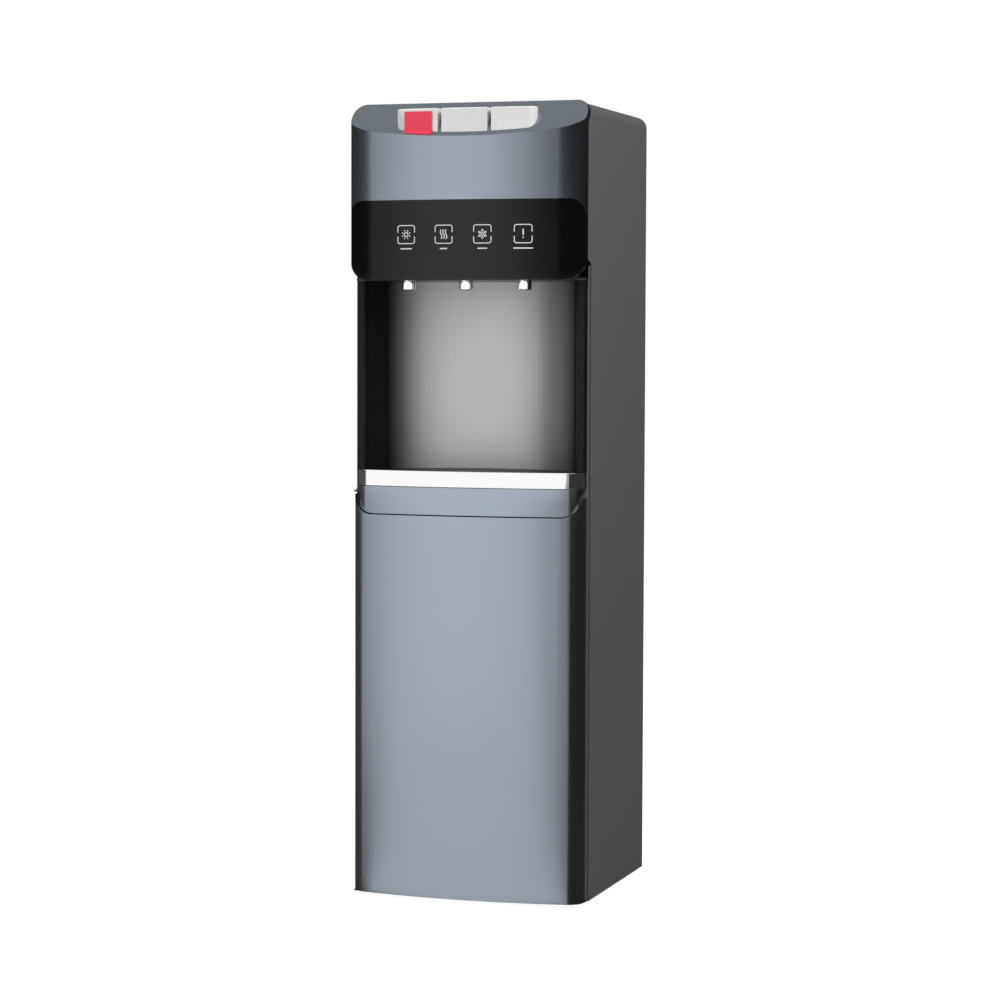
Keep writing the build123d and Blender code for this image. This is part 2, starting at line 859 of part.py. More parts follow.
def condenser_coil():
    """Serpentine tube with a riser on the left and both ends turned in through the rear panel."""
    inside = rear_inner_y - 6
    turn = coil_pitch / 2
    top = coil_top + riser_rise
    start = [(-riser_x, inside, top), (-riser_x, coil_y, top), (-riser_x, coil_y, coil_bottom)]
    edges = FilletPolyline(*start, (-coil_half, coil_y, coil_bottom), radius=line_bend).edges()
    for row in range(coil_passes - 1):
        z = coil_bottom + row * coil_pitch
        side = coil_half if row % 2 == 0 else -coil_half
        outside = side + math.copysign(turn, side)
        edges.append(Line((-side, coil_y, z), (side, coil_y, z)).edge())
        ends = [(side, coil_y, z), (outside, coil_y, z + turn), (side, coil_y, z + coil_pitch)]
        edges.append(ThreePointArc(*ends).edge())
    last = [(-coil_half, coil_y, coil_top), (riser_x, coil_y, coil_top), (riser_x, inside, coil_top)]
    edges += FilletPolyline(*last, radius=line_bend).edges()
    path = Wire(edges)
    return sweep(Plane(origin=start[0], z_dir=(0, 1, 0)) * Circle(coil_radius), path)


def condenser_wires():
    wires = []
    for index in range(wire_count):
        x = (index - (wire_count - 1) / 2) * wire_pitch
        for side in (-1, 1):
            y = coil_y + side * (coil_radius + wire / 2)
            length = coil_top - coil_bottom + 2 * wire_overhang
            wires.append(Pos(x, y, (coil_bottom + coil_top) / 2) * Box(wire, wire, length))
    return Part() + wires


def condenser_brackets():
    x = (wire_count - 1) / 2 * wire_pitch
    near = coil_y - coil_radius - wire
    outside = rear_inner_y + sheet
    arms = []
    for side in (-1, 1):
        for z in (coil_bottom + 1.5 * coil_pitch, coil_top - 1.5 * coil_pitch):
            span = (side * x - 6, side * x + 6)
            arm = block(*span, outside, near, z - 1, z + 1)
            arm += block(*span, outside, outside + sheet, z - 1, z + 16)
            arm += block(*span, near - sheet, near, z - 16, z + 1)
            arms.append(arm)
    return Part() + arms


def drain_spigot():
    x, z = drain_place()
    outside = rear_inner_y + sheet
    body = rod_y(x, z, hot_y + hot_radius + tank_gap, outside + drain_reach, drain_radius)
    body += rod_y(x, z, outside, outside + drain_flange, 2 * drain_radius)
    return body - rod_y(x, z, hot_y + hot_radius, outside + drain_reach, drain_bore)


def drain_cap():
    x, z = drain_place()
    outside = rear_inner_y + sheet
    far = outside + drain_reach + cap_end
    radius = drain_radius + cap_wall
    cap = rod_y(x, z, outside + drain_flange + seat_gap, far, radius)
    cap = fillet(cap.faces().sort_by(Axis.Y)[-1].edges(), 1.5)
    for index in range(cap_grooves):
        angle = 2 * math.pi * index / cap_grooves
        ring = radius + 0.6
        cap -= rod_y(x + ring * math.cos(angle), z + ring * math.sin(angle), outside, far, 1.4)
    return cap - rod_y(x, z, outside, outside + drain_reach + seat_gap, drain_radius + running_gap)


def switch_plate():
    x, z = switch_place()
    outside = rear_inner_y + sheet
    plate = block(x - 32, x + 32, outside, outside + 3, z - 22, z + 22)
    plate += block(x - 26, x + 26, rear_inner_y - switch_depth, outside, z - 16, z + 16)
    for side in (-1, 1):
        key = x + switch_spacing * side
        plate -= block(key - 7, key + 7, rear_inner_y - switch_depth, outside + 3, z - 11.6, z + 11.6)
        plate += rod_x(outside, z, key - 8, key + 8, switch_pin)
    return plate


def rocker(side):
    x, z = switch_place()
    x += switch_spacing * side
    outside = rear_inner_y + sheet
    front = outside + 3.5
    outline = Polyline(
        (outside - 5, z - 8),
        (outside + 6.5, z - 10),
        (front, z),
        (front, z + 10),
        (outside - 5, z + 8),
        close=True,
    )
    key = sideways(make_face(outline), x - 6.6, x + 6.6)
    return key - rod_x(outside, z, x - 8, x + 8, switch_pin + running_gap)


def power_box():
    x, z = switch_place()
    rear = rear_inner_y - switch_depth
    box = block(x - box_half, x + box_half, rear - box_depth, rear, z - box_rise, z + box_rise)
    return fillet(box.edges().filter_by(Axis.Y), wall)


def cord_gland():
    x, z = gland_place()
    outside = rear_inner_y + sheet
    near = rear_inner_y - gland_lip
    far = outside + gland_lip
    ring = rod_y(x, z, near, far, gland_radius) + rod_y(x, z, outside, far, gland_radius + 3)
    ring += rod_y(x, z, near, rear_inner_y, gland_radius + 2)
    return ring - rod_y(x, z, near, far, gland_bore)


# Pieces inside

def compressor():
    low = deck_top + mount_height
    x, y, z = compressor_line(0)
    base = block(x - base_half_x, x + base_half_x, y - base_half_y, y + base_half_y, low, low + tank_wall)
    foot = low + tank_wall
    pot = rod_z(x, y, foot, foot + compressor_height, compressor_radius)
    pot = fillet(pot.edges().filter_by(GeomType.CIRCLE).sort_by(Axis.Z)[-1], 2 * tank_jacket)
    core = compressor_radius - tank_jacket - wall
    pot -= rod_z(x, y, foot + tank_wall, foot + compressor_height - 2 * tank_jacket, core)
    for side in (-1, 1):
        edge = compressor_line(side)[0]
        pot += rod_x(y, z, *sorted((x + side * (core + 2), edge)), line_radius + 1)
        pot -= rod_x(y, z, *sorted((x + side * (core - 2), edge)), line_radius - 1)
    return base + pot


def compressor_line(side):
    """Where a refrigerant line leaves the compressor."""
    z = deck_top + mount_height + compressor_port
    return compressor_x + side * (compressor_radius + port_reach), compressor_y, z


def compressor_mounts():
    reach = (base_half_x - mount_inset - mount_radius, base_half_y - mount_inset)
    spots = [(compressor_x + sx * reach[0], compressor_y + sy * reach[1]) for sx in (-1, 1) for sy in (-1, 1)]
    return Part() + [rod_z(x, y, deck_top, deck_top + mount_height, mount_radius) for x, y in spots]


def discharge_line():
    x, y, z = compressor_line(1)
    end = rear_inner_y - 6
    points = [(x, y, z), (riser_x, y, z), (riser_x, y, coil_top), (riser_x, end, coil_top)]
    return tube(points, line_bend, line_radius)


def suction_line():
    x, y, z = compressor_line(-1)
    out = x - 22
    high = shelf_height - 24
    points = [(x, y, z), (out, y, z), (out, y, high), (cold_x - 40, y, high), (cold_x - 40, y, shelf_height)]
    return tube(points, line_bend, line_radius)


def filter_drier():
    z = coil_top + riser_rise
    end = rear_inner_y - 6
    body = rod_y(-riser_x, z, end - 64, end - 8, 9)
    body = chamfer(body.edges().filter_by(GeomType.CIRCLE), 4)
    return body + rod_y(-riser_x, z, end - 72, end, line_radius)


def tank(x, y, radius, height):
    low = shelf_top
    body = rod_z(x, y, low, low + height, radius)
    body = fillet(body.edges().filter_by(GeomType.CIRCLE), 1.5 * tank_jacket)
    return body - rod_z(x, y, low + tank_wall, low + height - tank_wall, radius - tank_jacket)


def spigot(tank_body, x, y, radius):
    """Adds a hose spigot on the front of a tank and bores it through to the inside."""
    front = y - radius
    tank_body += rod_y(x, inlet_z, front - spigot_reach, front + tank_jacket, inlet_radius)
    return tank_body - rod_y(x, inlet_z, front - spigot_reach, y, inlet_radius - 2)


def cold_tank():
    body = spigot(tank(cold_x, cold_y, cold_radius, cold_height), cold_x, cold_y, cold_radius)
    left = cold_x - cold_radius
    return body + rod_x(cold_y, feed_z, left - spigot_reach, left + tank_wall, inlet_radius)


def hot_tank():
    body = spigot(tank(hot_x, hot_y, hot_radius, hot_height), hot_x, hot_y, hot_radius)
    x, z = drain_place()
    reach = hot_y + hot_radius + tank_gap
    body += rod_y(x, z, hot_y + hot_radius - tank_jacket, reach, drain_radius)
    return body - rod_y(x, z, hot_y, reach, drain_bore)


def heater_band():
    inner = hot_radius + seat_gap
    ring = Circle(inner + heater_thickness) - Circle(inner)
    return Pos(hot_x, hot_y, shelf_top + heater_rise) * extrude(ring, heater_height)


def hot_tube():
    return level_tube(-spout_spacing, hot_x, hot_y - hot_radius - spigot_reach)


def cold_tube():
    return level_tube(spout_spacing, cold_x, cold_y - cold_radius - spigot_reach)


def level_tube(start_x, end_x, end_y):
    """Hose at the height of the tap inlets, straight at both ends and slanted across its middle."""
    lead = (end_y - inlet_y) / 3
    points = [(start_x, inlet_y), (start_x, inlet_y + lead), (end_x, end_y - lead), (end_x, end_y)]
    return tube([(x, y, inlet_z) for x, y in points], tube_bend, tube_radius)


def tee_length():
    return 2 * tube_radius


def ambient_tube():
    x = riser_place()[0]
    end = cold_y - tee_length()
    lead = (end - inlet_y) / 3
    points = [(0, inlet_y, inlet_z), (0, inlet_y + lead, inlet_z), (x, end - lead, feed_z), (x, end, feed_z)]
    return tube(points, tube_bend, tube_radius)


def supply_tube():
    x, y = riser_place()
    px, py, pz = pump_outlet()
    bend = min(tube_bend, x - px - seat_gap)
    points = [(px, py, pz), (x, py, pz), (x, y, pz), (x, y, feed_z), (x, cold_y, feed_z)]
    tee = rod_y(x, feed_z, cold_y - tee_length(), cold_y + tee_length(), tube_radius + 2)
    branch = rod_x(cold_y, feed_z, x, cold_x - cold_radius - spigot_reach, tube_radius)
    return tube(points, bend, tube_radius) + tee + branch


def probe_place():
    return probe_margin - inner_half, rear_inner_y - probe_gap


def pump_place():
    """Where the pump's motor meets its head, below the deck."""
    x, y = probe_place()
    return x + probe_pump, y - pump_gap, deck_height - pump_drop


def pump_outlet():
    x, y, z = pump_place()
    return x + motor_length / 4 + pump_length + spigot_reach, y, z


def water_pump():
    x, y, z = pump_place()
    joint = x + motor_length / 4
    face = joint + pump_length
    body = rod_x(y, z, joint - motor_length, joint, motor_radius) + rod_x(y, z, joint, face, pump_radius)
    body += rod_x(y, z, face, face + spigot_reach, inlet_radius)
    body += rod_y(probe_place()[0], z, y, y + pump_port, inlet_radius)
    return body + block(x - pump_radius, x + pump_radius, y - tank_jacket, y + tank_jacket, z, deck_height)


def suction_probe():
    x, y = probe_place()
    low = sill_height + base_rim
    top = deck_height - probe_drop
    probe = rod_z(x, y, low, top, inlet_radius)
    probe += rod_z(x, y, top, top + cap_height, cap_radius)
    probe += rod_z(x, y, top + cap_height, top + cap_height + neck_height, neck_radius)
    foot = Pos(x, y, low - inlet_radius) * Cone(inlet_radius - 2, inlet_radius, 2 * inlet_radius)
    return probe + foot


def suction_tube():
    x, y = probe_place()
    px, py, z = pump_place()
    start = (x, y, deck_height - probe_drop + cap_height + neck_height)
    return tube([start, (x, y, z), (x, py + pump_port, z)], 2.5 * tube_radius, tube_radius)


def probe_clips():
    x, y = probe_place()
    clips = []
    for z in (sill_height + clip_low, deck_height - clip_drop):
        clip = block(x - clip_half, x + clip_half, y - inlet_radius + 1, rear_inner_y, z, z + clip_height)
        clip -= rod_z(x, y, z, z + clip_height, inlet_radius + 2 * running_gap)
        mouth = inlet_radius - 1
        clips.append(clip - block(x - mouth, x + mouth, y - inlet_radius, y, z, z + clip_height))
    return Part() + clips


side_names = {-1: "hot", 0: "ambient", 1: "cold"}

nodes = {
    "base_pan": base_pan(),
    "feet": feet(),
    "cabinet_wrap": cabinet_wrap(),
    "front_frame": front_frame(),
    "rear_panel": rear_panel(),
    "deck_plate": deck_plate(),
    "tank_shelf": tank_shelf(),
    "door_outer": door_outer(),
    "door_inner": door_inner(),
    "strike_plate": strike_plate(),
    "door_magnet": door_magnet(),
    "lower_hinge": lower_hinge(),
    "upper_hinge": upper_hinge(),
    "fascia": fascia(),
    "alcove_pillars": pillar(-1) + pillar(1),
    "alcove_back": alcove_back(),
    "alcove_liner": alcove_liner(),
    "drip_tray": drip_tray(),
    "tray_trim": tray_trim(),
    "drip_grille": drip_grille(),
    "hood_cover": hood_cover(),
    "control_panel": control_panel(),
    "indicator_board": indicator_board(),
    "spout_plate": spout_plate(),
    "child_lock": child_lock(),
    "condenser_coil": condenser_coil(),
    "condenser_wires": condenser_wires(),
    "condenser_brackets": condenser_brackets(),
    "drain_spigot": drain_spigot(),
    "drain_cap": drain_cap(),
    "switch_plate": switch_plate(),
    "hot_switch": rocker(-1),
    "cold_switch": rocker(1),
    "power_box": power_box(),
    "cord_gland": cord_gland(),
    "compressor": compressor(),
    "compressor_mounts": compressor_mounts(),
    "refrigerant_lines": discharge_line() + suction_line(),
    "filter_drier": filter_drier(),
    "cold_tank": cold_tank(),
    "hot_tank": hot_tank(),
    "heater_band": heater_band(),
    "water_tubes": hot_tube() + cold_tube() + ambient_tube() + supply_tube(),
    "water_pump": water_pump(),
    "suction_probe": suction_probe(),
    "suction_tube": suction_tube(),
    "probe_clips": probe_clips(),
}
for index, name in side_names.items():
    x = tap_places()[index + 1]
    nodes[f"{name}_button"] = button(index)
    nodes[f"{name}_push_rod"] = push_rod(x)
    nodes[f"{name}_return_spring"] = return_spring(x)
nodes["tap_bodies"] = Part() + [tap_body(x) for x in tap_places()]
nodes["spouts"] = Part() + [spout(x) for x in tap_places()]

os.makedirs("parts", exist_ok=True)
for name, shape in nodes.items():
    export_step(shape, f"parts/{name}.step")
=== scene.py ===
import json
import math

import bmesh
import bpy
from mathutils import Matrix, Vector


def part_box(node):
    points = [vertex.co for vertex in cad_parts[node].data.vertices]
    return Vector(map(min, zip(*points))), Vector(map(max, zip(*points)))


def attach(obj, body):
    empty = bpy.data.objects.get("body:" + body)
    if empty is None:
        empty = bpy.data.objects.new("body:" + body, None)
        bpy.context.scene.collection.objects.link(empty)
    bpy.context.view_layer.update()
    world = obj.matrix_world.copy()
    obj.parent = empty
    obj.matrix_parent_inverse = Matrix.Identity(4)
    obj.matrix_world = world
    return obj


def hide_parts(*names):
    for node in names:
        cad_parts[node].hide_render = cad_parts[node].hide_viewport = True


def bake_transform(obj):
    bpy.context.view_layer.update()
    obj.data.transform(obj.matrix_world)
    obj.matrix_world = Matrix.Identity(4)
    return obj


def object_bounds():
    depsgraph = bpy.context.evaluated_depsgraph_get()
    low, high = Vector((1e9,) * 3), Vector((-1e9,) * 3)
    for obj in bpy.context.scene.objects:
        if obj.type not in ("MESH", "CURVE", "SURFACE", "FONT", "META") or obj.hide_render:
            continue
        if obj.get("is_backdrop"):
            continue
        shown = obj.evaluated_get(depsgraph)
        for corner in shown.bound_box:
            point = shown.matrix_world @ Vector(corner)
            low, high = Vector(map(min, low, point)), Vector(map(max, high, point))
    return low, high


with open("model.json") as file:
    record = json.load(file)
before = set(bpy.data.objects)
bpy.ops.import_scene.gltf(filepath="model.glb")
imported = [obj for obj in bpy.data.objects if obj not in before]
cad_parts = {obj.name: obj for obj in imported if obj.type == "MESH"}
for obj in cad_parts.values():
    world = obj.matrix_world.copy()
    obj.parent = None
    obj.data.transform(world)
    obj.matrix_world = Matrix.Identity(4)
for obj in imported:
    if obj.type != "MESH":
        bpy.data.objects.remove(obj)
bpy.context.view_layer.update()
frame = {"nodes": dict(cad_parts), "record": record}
nodes = frame["nodes"]
scene = bpy.context.scene
mm = 0.001


# Materials

noise_middle = (0.3, 0.7)
tint_middle = (0.35, 0.65)


def shader_of(material):
    return material.node_tree.nodes["Principled BSDF"]


def new_material(name, colour, roughness, metallic=0.0):
    material = bpy.data.materials.new(name)
    material.use_nodes = True
    shader = shader_of(material)
    shader.inputs["Base Color"].default_value = (*colour, 1)
    shader.inputs["Roughness"].default_value = roughness
    shader.inputs["Metallic"].default_value = metallic
    return material, material.node_tree, shader


def object_coords(tree):
    return tree.nodes.new("ShaderNodeTexCoord").outputs["Object"]


def object_axes(tree):
    """The object's own X, Y and Z as three outputs."""
    axes = tree.nodes.new("ShaderNodeSeparateXYZ")
    tree.links.new(object_coords(tree), axes.inputs[0])
    return axes.outputs


def math_node(tree, operation, *values, clamp=False):
    """Output of a math node; each value is a socket to link or a plain number."""
    node = tree.nodes.new("ShaderNodeMath")
    node.operation = operation
    node.use_clamp = clamp
    for socket, value in zip(node.inputs, values):
        if isinstance(value, (int, float)):
            socket.default_value = value
        else:
            tree.links.new(value, socket)
    return node.outputs[0]


def map_range(tree, value, before, after):
    """Map range node from one pair of values to another."""
    node = tree.nodes.new("ShaderNodeMapRange")
    node.inputs["From Min"].default_value, node.inputs["From Max"].default_value = before
    node.inputs["To Min"].default_value, node.inputs["To Max"].default_value = after
    tree.links.new(value, node.inputs["Value"])
    return node


def object_noise(tree, scale, detail=3.0, stretch=(1, 1, 1)):
    """Noise in the object's own coordinates, stretched along its axes."""
    mapping = tree.nodes.new("ShaderNodeMapping")
    mapping.inputs["Scale"].default_value = stretch
    noise = tree.nodes.new("ShaderNodeTexNoise")
    noise.inputs["Scale"].default_value = scale
    noise.inputs["Detail"].default_value = detail
    tree.links.new(object_coords(tree), mapping.inputs["Vector"])
    tree.links.new(mapping.outputs["Vector"], noise.inputs["Vector"])
    return noise.outputs["Fac"]


def spread(tree, noise, socket, low, high):
    """Maps a noise's middle values to a range and feeds a shader socket."""
    tree.links.new(map_range(tree, noise, noise_middle, (low, high)).outputs["Result"], socket)


def tint(tree, noise, socket, colour, darker, lighter):
    """Feeds a shader's colour from a noise, between two near colours."""
    ramp = tree.nodes.new("ShaderNodeValToRGB")
    for element, position, factor in zip(ramp.color_ramp.elements, tint_middle, (darker, lighter)):
        element.position = position
        element.color = (*(min(1.0, c * factor) for c in colour), 1)
    tree.links.new(noise, ramp.inputs["Fac"])
    tree.links.new(ramp.outputs["Color"], socket)


def bumped(tree, shader, noise, strength, distance):
    bump = tree.nodes.new("ShaderNodeBump")
    bump.inputs["Strength"].default_value = strength
    bump.inputs["Distance"].default_value = distance
    tree.links.new(noise, bump.inputs["Height"])
    tree.links.new(bump.outputs["Normal"], shader.inputs["Normal"])


def paint(name, colour, roughness):
    """Sprayed metallic paint: fine flakes and a faint orange peel."""
    flake_scale, peel_scale, detail = 2600, 1600, 2
    peel_strength, peel_depth = 0.0015, 0.0001
    material, tree, shader = new_material(name, colour, roughness, 1.0)
    flakes = object_noise(tree, flake_scale, detail)
    tint(tree, flakes, shader.inputs["Base Color"], colour, 0.985, 1.015)
    peel = object_noise(tree, peel_scale, detail)
    spread(tree, peel, shader.inputs["Roughness"], roughness - 0.01, roughness + 0.01)
    bumped(tree, shader, peel, peel_strength, peel_depth)
    return material


def moulded(name, colour, roughness, grain, depth, mottle=0.05):
    """Moulded plastic or powder coat with a fine grain; mottle is how far its colour wanders."""
    cloud_scale, grain_depth = 18, 0.0002
    material, tree, shader = new_material(name, colour, roughness)
    fine = object_noise(tree, grain)
    spread(tree, fine, shader.inputs["Roughness"], roughness - 0.04, roughness + 0.05)
    bumped(tree, shader, fine, depth, grain_depth)
    cloud = object_noise(tree, cloud_scale)
    tint(tree, cloud, shader.inputs["Base Color"], colour, 1 - mottle, 1 + mottle)
    return material


def glossy(name, colour, roughness):
    """Gloss plastic with a barely uneven surface."""
    cloud_scale, detail = 30, 2
    material, tree, shader = new_material(name, colour, roughness)
    cloud = object_noise(tree, cloud_scale, detail)
    spread(tree, cloud, shader.inputs["Roughness"], roughness * 0.85, roughness * 1.2)
    tint(tree, cloud, shader.inputs["Base Color"], colour, 0.96, 1.03)
    return material


def metal(name, colour, roughness, stretch):
    """Bare metal with drawn or brushed lines along the axis that is least stretched."""
    line_scale, detail = 900, 4
    material, tree, shader = new_material(name, colour, roughness, 1.0)
    lines = object_noise(tree, line_scale, detail, stretch)
    spread(tree, lines, shader.inputs["Roughness"], roughness * 0.95, roughness * 1.05)
    tint(tree, lines, shader.inputs["Base Color"], colour, 0.98, 1.02)
    return material


def shaded_sides(material, half, power, colour):
    """Paints shade into a recessed sheet's colour: fades it to a dark colour toward its two sides, by the
    distance from its middle.
    """
    tree = material.node_tree
    socket = shader_of(material).inputs["Base Color"]
    source = socket.links[0].from_socket
    away = math_node(tree, "ABSOLUTE", object_axes(tree)["X"])
    fade = math_node(tree, "POWER", math_node(tree, "DIVIDE", away, half), power, clamp=True)
    mix = tree.nodes.new("ShaderNodeMix")
    mix.data_type = "RGBA"
    mix.inputs["B"].default_value = (*colour, 1)
    tree.links.new(fade, mix.inputs["Factor"])
    tree.links.new(source, mix.inputs["A"])
    tree.links.new(mix.outputs["Result"], socket)


looks = {
    "front_paint": paint("front_paint", (0.385, 0.435, 0.495), 0.26),
    "cabinet_paint": moulded("cabinet_paint", (0.10, 0.10, 0.10), 0.42, 1500, 0.06, 0.012),
    "black_gloss": glossy("black_gloss", (0.0022, 0.0022, 0.0025), 0.16),
    "black_plastic": moulded("black_plastic", (0.012, 0.012, 0.013), 0.38, 1800, 0.08),
    "grey_plastic": moulded("grey_plastic", (0.30, 0.31, 0.32), 0.45, 1800, 0.08),
    "white_plastic": moulded("white_plastic", (0.62, 0.62, 0.62), 0.5, 1600, 0.04),
    "red_plastic": moulded("red_plastic", (0.69, 0.033, 0.072), 0.28, 1600, 0.03),
    "steel": metal("steel", (0.55, 0.55, 0.56), 0.38, (1, 1, 0.05)),
    "bright_steel": metal("bright_steel", (0.52, 0.52, 0.52), 0.4, (1, 1, 0.01)),
    "chrome_trim": metal("chrome_trim", (0.95, 0.95, 0.95), 0.05, (1, 1, 1)),
    "rubber": moulded("rubber", (0.018, 0.018, 0.018), 0.7, 900, 0.15),
    "condenser_black": moulded("condenser_black", (0.014, 0.014, 0.015), 0.4, 1200, 0.05),
    "copper": metal("copper", (0.80, 0.42, 0.27), 0.28, (0.2, 0.2, 1)),
    "hose": moulded("hose", (0.78, 0.78, 0.75), 0.35, 700, 0.03),
    "foam": moulded("foam", (0.72, 0.72, 0.68), 0.8, 260, 0.3),
    "board_green": glossy("board_green", (0.015, 0.11, 0.045), 0.3),
}
shader_of(looks["black_gloss"]).inputs["IOR"].default_value = 1.43
alcove_half_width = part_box("alcove_back")[1][0]
# Painted shade: the alcove's steel back darkens toward its sides in its base colour, standing in for the
# shade of the recess.
shaded_sides(looks["bright_steel"], alcove_half_width, 4.4, (0.004, 0.004, 0.004))
matt_black = moulded("matt_black", (0.006, 0.006, 0.0065), 0.38, 1800, 0.08)
shader_of(matt_black).inputs["Specular IOR Level"].default_value = 0.15
own_looks = {
    "upper_hinge": looks["condenser_black"], "lower_hinge": looks["condenser_black"],
    "front_frame": looks["cabinet_paint"], "alcove_liner": matt_black, "alcove_pillars": matt_black,
}
for part in frame["record"]["subparts"]:
    name = part["node"]
    materials = nodes[name].data.materials
    materials.clear()
    materials.append(own_looks.get(name, looks[part["material_slot"]]))


# Rounded edges and smooth faces

crease_angle = math.radians(38)


def soften(item, width):
    """Joins the faces of a node, rounds its sharp edges a little and shades the rest smooth."""
    item.data.shade_smooth()
    weld = item.modifiers.new("weld", "WELD")
    weld.merge_threshold = 0.00001
    if width:
        bevel = item.modifiers.new("edges", "BEVEL")
        bevel.width = width
        bevel.segments = 3
        bevel.limit_method = "ANGLE"
        bevel.angle_limit = crease_angle
    split = item.modifiers.new("creases", "EDGE_SPLIT")
    split.split_angle = crease_angle
    weighted = item.modifiers.new("normals", "WEIGHTED_NORMAL")
    weighted.weight = 90


edge_widths = {
    "hood_cover": 0.0012, "door_outer": 0.0010, "fascia": 0.0008, "control_panel": 0.0005,
    "front_frame": 0.0006, "hot_button": 0.0007, "ambient_button": 0.0007, "cold_button": 0.0007,
    "child_lock": 0.0003, "tray_trim": 0.0004, "drip_tray": 0.0005, "door_inner": 0.0008,
    "switch_plate": 0.0005, "hot_switch": 0.0005, "cold_switch": 0.0005, "drain_cap": 0.0005,
    "base_pan": 0.0005,
}
for name, item in nodes.items():
    soften(item, edge_widths.get(name, 0))


# Indicators on the panel, in millimetres

panel_apex = -168.5
panel_bow = 1250.0
stroke_rise = 0.15
stroke_root = 0.10
frame_half, frame_round, frame_gap = 11.7, 3.0, 2.6
frame_stroke, bar_stroke, icon_stroke = 1.2, 1.6, 1.3
arm_stroke, twig_stroke, mark_stroke = 1.2, 0.9, 1.7
symbol_z, bar_z = 874.2, 855.8
symbol_x = {"sun": -78.0, "waves": -25.8, "flake": 26.9, "alert": 81.3}
bar_lengths = {"sun": 16.0, "waves": 10.0, "flake": 13.0, "alert": 26.0}
bar_steps = 6


def panel_y(x):
    return panel_apex + panel_bow - math.sqrt(panel_bow ** 2 - x * x)


def ribbon(mesh, points, width, closed=False):
    """Adds a stroke that lies on the bowed panel; points are X and Z."""
    count = len(points)
    rings = []
    for index, (x, z) in enumerate(points):
        before = points[index - 1] if index or closed else points[index]
        after = points[(index + 1) % count] if index < count - 1 or closed else points[index]
        along = Vector((after[0] - before[0], after[1] - before[1])).normalized()
        side = Vector((-along.y, along.x)) * width / 2
        ring = []
        for sign, depth in ((1, -stroke_rise), (-1, -stroke_rise), (-1, stroke_root), (1, stroke_root)):
            px, pz = x + sign * side.x, z + sign * side.y
            ring.append(mesh.verts.new((px * mm, (panel_y(px) + depth) * mm, pz * mm)))
        rings.append(ring)
    steps = range(count if closed else count - 1)
    for index in steps:
        near, far = rings[index], rings[(index + 1) % count]
        for k in range(4):
            mesh.faces.new((near[k], near[(k + 1) % 4], far[(k + 1) % 4], far[k]))
    if not closed:
        mesh.faces.new(rings[0][::-1])
        mesh.faces.new(rings[-1])


def arc(cx, cz, radius, start, end, count):
    angles = [math.radians(start + (end - start) * i / count) for i in range(count + 1)]
    return [(cx + radius * math.cos(a), cz + radius * math.sin(a)) for a in angles]


def half_frame(cx, sign):
    """Upper or lower half of a rounded square that is open at the middle of both sides."""
    middle = frame_half - frame_round
    right = arc(middle, middle, frame_round, 0, 90, 6)
    left = [(-x, z) for x, z in reversed(right)]
    path = [(frame_half, frame_gap)] + right + left + [(-frame_half, frame_gap)]
    return [(cx + x, symbol_z + sign * z) for x, z in path]


def sun(mesh, cx):
    ribbon(mesh, arc(cx, symbol_z, 2.6, 0, 345, 23), icon_stroke, True)
    for index in range(8):
        angle = math.radians(45 * index + 22.5)
        ray = [(cx + r * math.cos(angle), symbol_z + r * math.sin(angle)) for r in (4.4, 6.2)]
        ribbon(mesh, ray, icon_stroke)


def waves(mesh, cx):
    spacing, swing, half = 3.4, 1.1, 6
    for shift in (-spacing, 0.0, spacing):
        heights = range(2 * half + 1)
        wave = [(cx + shift + swing * math.sin(math.pi * t / half), symbol_z - half + t) for t in heights]
        ribbon(mesh, wave, icon_stroke)


def flake(mesh, cx):
    fork, twig_length, twig_turn = 3.4, 2.2, 0.9
    for index in range(6):
        angle = math.radians(60 * index + 30)
        out = Vector((math.cos(angle), math.sin(angle)))
        ribbon(mesh, [(cx + out.x * r, symbol_z + out.y * r) for r in (1.0, 6.4)], arm_stroke)
        for turn in (-twig_turn, twig_turn):
            tip = Vector((math.cos(angle + turn), math.sin(angle + turn)))
            root = (cx + out.x * fork, symbol_z + out.y * fork)
            ribbon(mesh, [root, (root[0] + tip.x * twig_length, root[1] + tip.y * twig_length)], twig_stroke)


def alert(mesh, cx):
    for top, bottom in ((6.2, -1.8), (-3.8, -5.5)):
        ribbon(mesh, [(cx, symbol_z + top), (cx, symbol_z + bottom)], mark_stroke)


def symbols():
    mesh = bmesh.new()
    for name, cx in symbol_x.items():
        for sign in (1, -1):
            ribbon(mesh, half_frame(cx, sign), frame_stroke)
        length = bar_lengths[name]
        bar = [(cx - length / 2 + length * i / bar_steps, bar_z) for i in range(bar_steps + 1)]
        ribbon(mesh, bar, bar_stroke)
    for draw in (sun, waves, flake, alert):
        draw(mesh, symbol_x[draw.__name__])
    data = bpy.data.meshes.new("indicator_symbols")
    bmesh.ops.recalc_face_normals(mesh, faces=mesh.faces)
    mesh.to_mesh(data)
    mesh.free()
    return data


def add_piece(name, data, body, material):
    data.materials.append(material)
    piece = bpy.data.objects.new(name, data)
    scene.collection.objects.link(piece)
    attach(piece, body)


print_light = moulded("indicator_print", (0.62, 0.62, 0.62), 0.5, 1600, 0.03)
add_piece("indicator_symbols", symbols(), "cabinet", print_light)


# Return springs, each copied out of its node into a coil piece of its own, the node hidden

def spring_coil(name):
    spring = nodes[f"{name}_return_spring"]
    coil = bpy.data.objects.new(f"{name}_spring_coil", spring.data.copy())
    coil.matrix_world = spring.matrix_world.copy()
    scene.collection.objects.link(coil)
    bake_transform(coil)
    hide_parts(spring.name)
    soften(coil, 0)


for name in ("hot", "ambient", "cold"):
    spring_coil(name)


# Studio floor

def stage_piece(name, verts, faces, material):
    mesh = bpy.data.meshes.new(name)
    mesh.from_pydata(verts, [], faces)
    mesh.materials.append(material)
    piece = bpy.data.objects.new(name, mesh)
    scene.collection.objects.link(piece)
    piece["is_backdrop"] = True
    return piece


